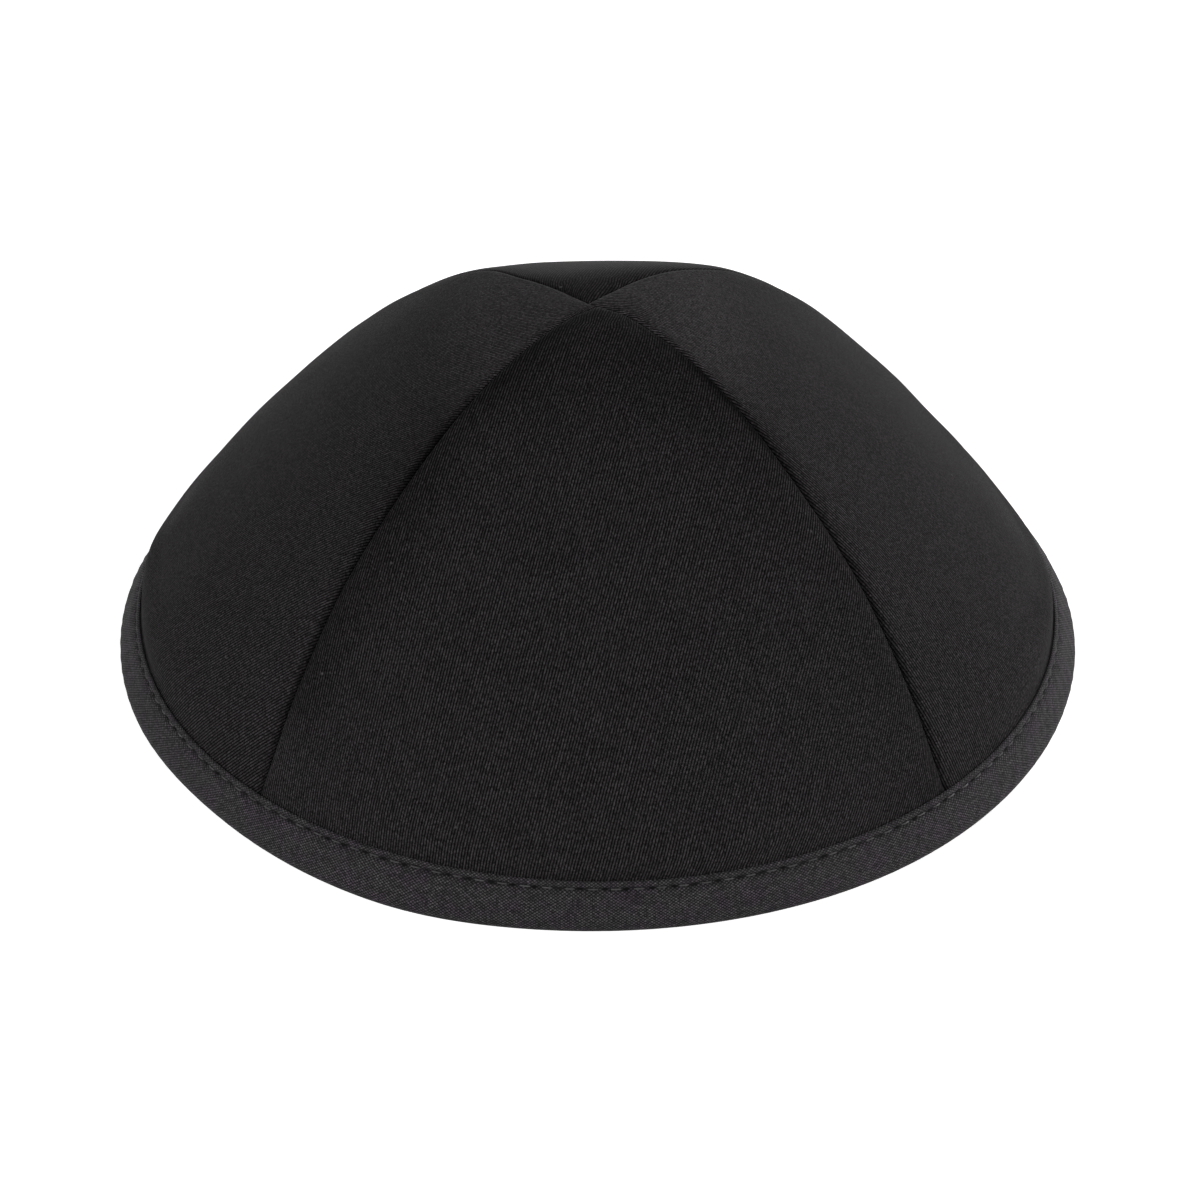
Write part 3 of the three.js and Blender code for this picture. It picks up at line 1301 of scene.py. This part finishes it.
        # This float attribute carries the painted shade and painted light that the twill multiplies into its
        # colour.
        shade = mesh.verts.layers.float.new("painted_seam_shade")
        for vert in mesh.verts:
            row, column = self.cell(vert.co)
            for loop in vert.link_loops:
                loop[pattern].uv = flat[row][column]
            point = points[row][column]
            vert[shade] = self.painted_shading_at(point)
            vert[weight][0] = smoothstep(points[row][0].xy.length, *self.wall_in)
            vert.co = self.settled(point) * MM
        bmesh.ops.remove_doubles(mesh, verts=mesh.verts, dist=1e-7)
        bmesh.ops.transform(mesh, matrix=self.side.turn, verts=mesh.verts)
        piece = finish_object(f"twill_{self.side.node}", mesh, finish)
        thick = piece.vertex_groups.new(name="cloth_thickness")
        wall = piece.modifiers.new("cloth", "SOLIDIFY")
        wall.thickness = self.roll.cloth * MM
        wall.offset = -1.0
        wall.vertex_group = thick.name
        wall.thickness_vertex_group = self.thinnest
        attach(piece, BODY)
        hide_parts(self.side.node)
        return piece


@dataclass(frozen=True)
class StitchPlan:
    """Where the stitches sit, in millimetres, with a hole's length as a share of the pitch."""

    count: int = 141
    below_edge: float = 1.35
    hole_depth: float = 0.26
    hole_length: float = 0.125
    hole_width: float = 0.30
    furrow_depth: float = 0.30
    furrow_width: float = 0.40

    @property
    def pitch(self) -> float:
        """Angle from one needle hole to the next."""
        return FULL_TURN / self.count

    def phase(self, turn: float) -> float:
        """Distance of an angle from the nearest needle hole, from 0 at a hole to 0.5 between two."""
        share = (turn / FULL_TURN * self.count) % 1.0
        return min(share, 1 - share)


@dataclass(frozen=True)
class TapeRelief:
    """The low relief that stitching gives the tape, in millimetres."""

    band: Band
    plan: StitchPlan
    bulge: float = 0.28
    bulge_rise: Pair = (0.2, 1.8)
    bulge_end: Pair = (-1.0, 2.6)
    bulge_change: float = 0.35
    ridge: float = 0.14
    ridge_place: float = 0.6
    ridge_width: float = 0.4
    ridge_dip: float = 0.45
    wrinkle: float = 0.07
    wrinkle_rise: Pair = (0.1, 0.9)
    slanted_share: float = 0.55
    swirl_share: float = 0.9
    slant: float = 1.35
    slant_waver: float = 2.2
    slow_scale: float = 9.0
    slow_shift: Triple = (0.0, 0.0, 0.12)
    swirl_scale: float = 52.0
    swirl_shift: Triple = (0.55, 0.0, 0.4)

    def at(self, down: float, turn: float) -> float:
        """Finds how far the tape stands out.

        Args:
            down: Distance below the upper edge.
            turn: Angle round the rim.

        Returns:
            The height of bulges, wrinkles, furrow and needle holes.
        """
        plan = self.plan
        from_line = down - plan.below_edge
        near_hole = bell(plan.phase(turn), plan.hole_length)
        furrow = plan.furrow_depth * bell(from_line, plan.furrow_width)
        hole = plan.hole_depth * bell(from_line, plan.hole_width) * near_hole
        ridge = self.ridge * bell(down - self.ridge_place, self.ridge_width)
        ridge *= 1 - self.ridge_dip * near_hole
        above_foot = self.band.length - down
        below = smoothstep(from_line, *self.bulge_rise) * smoothstep(above_foot, *self.bulge_end)
        ring = Vector((math.cos(turn), math.sin(turn), 0.0))
        slow = noise.noise(ring * self.slow_scale + Vector(self.slow_shift) * down)
        swirl = noise.noise(ring * self.swirl_scale + Vector(self.swirl_shift) * down)
        slanted = math.sin(turn * plan.count + down * self.slant + self.slant_waver * slow)
        wrinkles = self.wrinkle * (self.slanted_share * slanted + self.swirl_share * swirl)
        wrinkles *= smoothstep(down, *self.wrinkle_rise)
        return self.bulge * below * (1 + self.bulge_change * slow) + ridge + wrinkles - furrow - hole


@dataclass(frozen=True)
class Spot:
    """A point of the tape's section, and how far down it lies on a face that shows stitches."""

    place: Vector
    face: Face | None = None
    down: float = 0.0


@dataclass
class RimBinding:
    """The tape that is folded over the panels' hems and stitched down, in millimetres."""

    band: Band
    plan: StitchPlan
    rest_inner: float = 87.2
    rest_outer: float = 88.9
    edge_round: float = 0.35
    edge_steps: int = 9
    foot_low: float = 0.1
    foot_out: float = 0.1
    foot_high: float = 1.0
    foot_reach: float = 0.6
    foot_length: float = 2.0
    foot_steps: int = 9
    face_steps: int = 27
    turned_top: float = 5.0
    turned_lift: float = 0.2
    inner_start: float = 1.45
    inner_top_depth: float = 2.4
    inner_depth: float = 3.6
    inner_drop: float = 0.3
    inner_edge_down: float = 0.5
    inner_edge_steps: int = 7
    inner_steps: int = 13
    inner_relief: float = 0.6
    fold_start: float = 0.2
    fold_in: float = 0.9
    fold_low: float = 0.3
    fold_rest: float = 0.6
    fold_steps: int = 5
    relief_rise: Pair = (0.0, 1.5)
    steps_per_stitch: int = 8
    flat_width: float = 24.0
    flat_length: float = 565.0

    def round_edge(self, drop: float, start: float, end: float, steps: int) -> list[Pair]:
        """Traces a rounded upper edge of the tape.

        Args:
            drop: Distance of its top below the band's upper edge.
            start: Depth where it starts.
            end: Depth where it ends.
            steps: How many steps it takes.

        Returns:
            For each point its distance down the band and its depth.
        """
        edge = []
        for step in range(steps + 1):
            angle = math.pi * step / steps
            depth = start + (end - start) / 2 * (1 - math.cos(angle))
            edge.append((drop + self.edge_round * (1 - math.sin(angle)), depth))
        return edge

    def outer_leg(self) -> list[Spot]:
        """Traces the tape from where it rests, up its outer face and round its upper edge.

        Returns:
            The spots in order.
        """
        band = self.band
        start = band.length - self.foot_reach
        foot = [
            Vector((self.rest_outer, 0)),
            Vector((band.rim_radius, self.foot_low)),
            Vector((band.rim_radius + self.foot_out, self.foot_high)),
            band.below_top(start, 0.0),
        ]
        spots = []
        for step in range(self.foot_steps):
            share = step / self.foot_steps
            down = band.length + self.foot_length * (1 - share) - self.foot_reach * share
            spots.append(Spot(bezier(foot, share), Face.OUTER, down))
        for step in range(self.face_steps):
            down = start + (self.edge_round - start) * step / self.face_steps
            spots.append(Spot(band.below_top(down, 0.0), Face.OUTER, down))
        for step, (down, depth) in enumerate(self.round_edge(0.0, 0.0, band.leg, self.edge_steps)):
            face = Face.OUTER if 2 * step < self.edge_steps else None
            spots.append(Spot(band.below_top(down, depth), face, down))
        return spots

    def turned_in(self) -> list[Spot]:
        """Traces the two sides that face the panels' hems, down one and up the other.

        Returns:
            The spots in order.
        """
        low = self.band.fold_height + self.turned_lift
        outer = [self.band.point(self.band.leg, height) for height in (self.turned_top, low)]
        inner = [self.band.point(self.inner_start, height) for height in (low, self.turned_top)]
        return [Spot(place) for place in outer + inner]

    def inner_leg(self) -> list[Spot]:
        """Traces the tape round its inner upper edge, down its inner face and through the fold.

        Returns:
            The spots in order.
        """
        band, top_depth = self.band, self.inner_top_depth
        spots = []
        edge = self.round_edge(self.inner_drop, self.inner_start, top_depth, self.inner_edge_steps)
        for step, (down, depth) in enumerate(edge):
            face = Face.INNER if 2 * step > self.inner_edge_steps else None
            spots.append(Spot(band.below_top(down, depth), face, self.inner_edge_down))
        start = self.inner_drop + self.edge_round
        end = band.length - self.fold_start
        for step in range(1, self.inner_steps + 1):
            down = start + (end - start) * step / self.inner_steps
            depth = top_depth + (self.inner_depth - top_depth) * smoothstep(step, 0, self.inner_steps)
            spots.append(Spot(band.below_top(down, depth), Face.INNER, down))
        low = band.below_top(end, self.inner_depth)
        fold = [
            low,
            Vector((low.x + self.fold_in, self.fold_low)),
            Vector((self.rest_inner - self.fold_rest, 0)),
            Vector((self.rest_inner, 0)),
        ]
        for step in range(1, self.fold_steps + 1):
            share = step / self.fold_steps
            spots.append(Spot(bezier(fold, share), Face.INNER, band.length + share))
        return spots + [Spot(Vector(((self.rest_inner + self.rest_outer) / 2, 0)))]

    def build(self, finish: bpy.types.Material) -> bpy.types.Object:
        """Builds and dresses the binding.

        Args:
            finish: The tape's material.

        Returns:
            The finished piece.
        """
        section = self.outer_leg() + self.turned_in() + self.inner_leg()
        mesh = bmesh.new()
        station = mesh.verts.layers.int.new("station")
        ring = []
        for index, spot in enumerate(section):
            vert = mesh.verts.new((0.0, spot.place.x, spot.place.y))
            vert[station] = index
            ring.append(vert)
        edges = [mesh.edges.new((a, b)) for a, b in zip(ring, ring[1:] + ring[:1])]
        sweep = {"angle": FULL_TURN, "steps": self.plan.count, "use_merge": True, "use_duplicate": False}
        bmesh.ops.spin(mesh, geom=ring + edges, **sweep, **UPRIGHT)
        bmesh.ops.remove_doubles(mesh, verts=mesh.verts, dist=1e-4)
        around = [edge for edge in mesh.edges if edge.verts[0][station] == edge.verts[1][station]]
        bmesh.ops.subdivide_edges(mesh, edges=around, cuts=self.steps_per_stitch - 1)
        self.map_pattern(mesh, station, section)
        self.shape_faces(mesh, station, section)
        bmesh.ops.scale(mesh, vec=(MM, MM, MM), verts=mesh.verts)
        bmesh.ops.recalc_face_normals(mesh, faces=mesh.faces)
        piece = finish_object("tape_rim_binding", mesh, finish)
        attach(piece, BODY)
        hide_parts("rim_binding")
        return piece

    def map_pattern(self, mesh: bmesh.types.BMesh, station: object, section: list[Spot]) -> None:
        """Gives the tape its own length and width as coordinates, in metres.

        Args:
            mesh: The spun tape.
            station: The layer that holds each vertex's place in the section.
            section: The section.
        """
        pattern = mesh.loops.layers.uv.new("pattern")
        walked = [0.0]
        for here, there in zip(section, section[1:] + section[:1]):
            walked.append(walked[-1] + (there.place - here.place).length)
        low = next(index for index, spot in enumerate(section) if spot.place.y > self.band.ring_height + 1)
        top = section[low].down + walked[low]
        for face in mesh.faces:
            turns = [turn_of(loop.vert.co) for loop in face.loops]
            wraps = max(turns) - min(turns) > math.pi
            closes = max(loop.vert[station] for loop in face.loops) == len(section) - 1
            for loop, turn in zip(face.loops, turns):
                full = turn + FULL_TURN if wraps and turn < 0 else turn
                index = loop.vert[station]
                if closes and index == 0:
                    index = len(section)
                loop[pattern].uv = (full * self.band.rim_radius * MM, (top - walked[index]) * MM)

    def shape_faces(self, mesh: bmesh.types.BMesh, station: object, section: list[Spot]) -> None:
        """Presses furrow, holes and wrinkles into the tape's faces.

        Args:
            mesh: The spun tape.
            station: The layer that holds each vertex's place in the section.
            section: The section.
        """
        relief = TapeRelief(self.band, self.plan)
        strengths = {Face.OUTER: 1.0, Face.INNER: self.inner_relief, None: 0.0}
        outs = []
        for before, after in zip(section[-1:] + section, section[1:] + section[:1]):
            tangent = after.place - before.place
            outs.append(Vector((tangent.y, -tangent.x)).normalized())
        for vert in mesh.verts:
            spot = section[vert[station]]
            turn = turn_of(vert.co)
            strength = strengths[spot.face] * smoothstep(spot.place.y, *self.relief_rise)
            moved = spot.place + outs[vert[station]] * strength * relief.at(spot.down, turn)
            vert.co = at_turn(turn, moved.x + self.band.sway(turn, moved.y), moved.y)


@dataclass
class StitchRow:
    """The row of stitches that holds the binding, on its outer and its inner face, in millimetres."""

    binding: RimBinding
    thread: float = 0.16
    sides: int = 6
    steps: int = 7
    span: float = 0.52
    lying: float = 0.02
    end_depth: float = 0.28
    arch: float = 0.34
    loose: Pair = (-0.05, 0.06)
    seed: int = 11
    dull: float = 0.05
    shiny: tuple[RimStretch, ...] = (
        RimStretch(41.0, 13.0, 0.9),
        RimStretch(15.0, 5.0, 0.4),
        RimStretch(-8.0, 8.0, 0.5),
        RimStretch(-33.0, 8.0, 0.35),
        RimStretch(-61.0, 6.0, 0.5),
        RimStretch(-118.0, 14.0, 0.7),
        RimStretch(105.0, 9.0, 0.6),
        RimStretch(160.0, 16.0, 0.7),
    )

    def stitch(self, mesh: bmesh.types.BMesh, face: Face, turn: float, loose: float) -> None:
        """Makes one stitch, with its two ends dipping into the needle holes.

        Args:
            mesh: The empty mesh that it goes into.
            face: The face of the binding that it lies on.
            turn: Angle of its first hole round the rim, from the front.
            loose: How high it stands off the furrow.
        """
        band, plan = self.binding.band, self.binding.plan
        if face is Face.OUTER:
            out, depth = band.out, plan.furrow_depth - self.lying
        else:
            out, depth = -band.out, self.binding.inner_depth - self.binding.inner_relief * plan.furrow_depth
        place = band.below_top(plan.below_edge, depth)
        start = turn + plan.pitch * (1 - self.span) / 2
        sweep = plan.pitch * self.span
        circle = bmesh.ops.create_circle(mesh, cap_ends=False, segments=self.sides, radius=self.thread)
        ring = circle["verts"]
        upright = Matrix.Rotation(QUARTER, 4, "Z") @ Matrix.Rotation(QUARTER, 4, "X")
        put = Matrix.Rotation(start, 4, "Z") @ Matrix.Translation((0, -place.x, place.y)) @ upright
        bmesh.ops.transform(mesh, matrix=put, verts=ring)
        edges = list(mesh.edges)
        options = {"angle": sweep, "steps": self.steps, "use_merge": False, "use_duplicate": False}
        made = bmesh.ops.spin(mesh, geom=ring + edges, **options, **UPRIGHT)
        ends = [item for item in made["geom_last"] if isinstance(item, bmesh.types.BMEdge)]
        bmesh.ops.holes_fill(mesh, edges=ends + edges, sides=self.sides)
        for vert in mesh.verts:
            angle = turn_of(vert.co)
            share = ((angle - start) % FULL_TURN) / sweep
            arched = math.sqrt(math.sin(math.pi * min(1.0, share))) if share < 2 else 0.0
            vert.co += at_turn(angle, out.x, out.y) * ((self.arch + loose) * arched - self.end_depth)

    def build(self, finish: bpy.types.Material) -> bpy.types.Object:
        """Builds and dresses the row.

        Args:
            finish: The thread's material.

        Returns:
            The finished piece.
        """
        draw = random.Random(self.seed)
        mesh = bmesh.new()
        for index in range(self.binding.plan.count):
            for face in Face:
                single = bmesh.new()
                self.stitch(single, face, index * self.binding.plan.pitch, draw.uniform(*self.loose))
                data = bpy.data.meshes.new("stitch")
                single.to_mesh(data)
                single.free()
                mesh.from_mesh(data)
                bpy.data.meshes.remove(data)
        bmesh.ops.scale(mesh, vec=(MM, MM, MM), verts=mesh.verts)
        bmesh.ops.recalc_face_normals(mesh, faces=mesh.faces)
        shine = mesh.verts.layers.float.new("shine")
        for vert in mesh.verts:
            turn = turn_of(vert.co)
            vert[shine] = self.dull + sum(stretch.at(turn) for stretch in self.shiny)
        piece = finish_object("thread_rim_stitches", mesh, finish)
        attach(piece, BODY)
        return piece


# Studio.


@dataclass(frozen=True)
class SoftLight:
    """A soft box that faces a point above the table."""

    name: str
    place: Triple
    size: Pair
    power: float
    aim: Triple = (0.0, 0.0, 0.03)

    def build(self) -> None:
        """Adds the light."""
        data = bpy.data.lights.new(self.name, "AREA")
        data.shape = "RECTANGLE"
        data.size, data.size_y = self.size
        data.energy = self.power
        light = bpy.data.objects.new(self.name, data)
        light.location = self.place
        light.rotation_euler = (Vector(self.place) - Vector(self.aim)).to_track_quat("Z", "Y").to_euler()
        light.visible_camera = False
        bpy.context.scene.collection.objects.link(light)


@dataclass(frozen=True)
class Viewpoint:
    """Where the camera stands: a distance in metres, angles in degrees, and a lens in millimetres."""

    distance: float = 0.63436
    height_angle: float = 35.394
    pitch: float = 34.935
    yaw: float = 0.055
    roll: float = 0.464
    turn: float = 1.052
    lens: float = 100.0
    sensor: float = 36.0

    def build(self) -> None:
        """Adds the camera."""
        data = bpy.data.cameras.new("camera")
        data.lens = self.lens
        data.sensor_width = self.sensor
        data.clip_start = 0.01
        camera = bpy.data.objects.new("camera", data)
        lift = math.radians(self.height_angle)
        away = Vector((0, -self.distance * math.cos(lift), self.distance * math.sin(lift)))
        aim = turned_by(-self.yaw, "Z") @ turned_by(90 - self.pitch, "X") @ turned_by(self.roll, "Z")
        camera.matrix_world = turned_by(-self.turn, "Z") @ Matrix.Translation(away) @ aim
        bpy.context.scene.collection.objects.link(camera)
        bpy.context.scene.camera = camera


@dataclass(frozen=True)
class Studio:
    """The floor, the lights, the sky and the camera."""

    lights: tuple[SoftLight, ...] = (
        SoftLight("left_low_box", (-0.9, 0.0, 0.25), (0.6, 0.6), 2.4),
        SoftLight("left_front_box", (-0.7, -0.7, 0.5), (0.6, 0.6), 4.0),
        SoftLight("right_low_box", (0.9, 0.0, 0.25), (0.6, 0.6), 4.4),
        SoftLight("right_front_box", (0.7, -0.7, 0.5), (0.6, 0.6), 2.6),
        SoftLight("back_right_box", (0.7, 0.7, 0.5), (0.6, 0.6), 4.6),
        SoftLight("back_left_box", (-0.7, 0.7, 0.4), (0.6, 0.6), 0.9),
        SoftLight("back_low_box", (0.0, 1.0, 0.3), (0.8, 0.5), 1.5),
        SoftLight("front_box", (0.0, -1.0, 0.7), (0.8, 0.6), 3.6),
    )
    sky: float = 0.02
    floor_size: float = 6.0

    def build(self) -> None:
        """Builds the whole studio."""
        mesh = bmesh.new()
        bmesh.ops.create_grid(mesh, x_segments=2, y_segments=2, size=self.floor_size / 2)
        floor = finish_object("floor", mesh, FloorFinish().build())
        world = bpy.data.worlds.new("studio")
        world.use_nodes = True
        wiring = Wiring(world.node_tree)
        seen = wiring.add("LightPath").outputs["Is Camera Ray"]
        bright = wiring.math("MAXIMUM", seen, self.sky)
        wiring.feed(world.node_tree.nodes["Background"], {0: WHITE, 1: bright})
        bpy.context.scene.world = world
        for light in self.lights:
            light.build()
        Viewpoint().build()
        bpy.context.scene.view_settings.view_transform = "Standard"


def main() -> None:
    """Builds the cap's pieces and the studio, in order."""
    logging.basicConfig(level=logging.INFO, format="%(message)s")
    band = Band()
    plan = StitchPlan()
    weaves = {"ribs": YarnRibs().build(), "mottle": ClothMottle().build()}
    twill = TwillFinish(**weaves).build()
    pitch = band.rim_radius * plan.pitch
    tape = TapeFinish(**weaves, stitch_line=plan.below_edge * MM, stitch_pitch=pitch * MM).build()
    for side in Side:
        panel = GorePanel(side, CrownShape(band)).build(twill)
        log.info("%s: %d faces before its wall", panel.name, len(panel.data.polygons))
    binding = RimBinding(band, plan)
    for piece in (binding.build(tape), StitchRow(binding).build(ThreadFinish().build())):
        log.info("%s: %d faces", piece.name, len(piece.data.polygons))
    Studio().build()


if __name__ == "__main__":
    main()
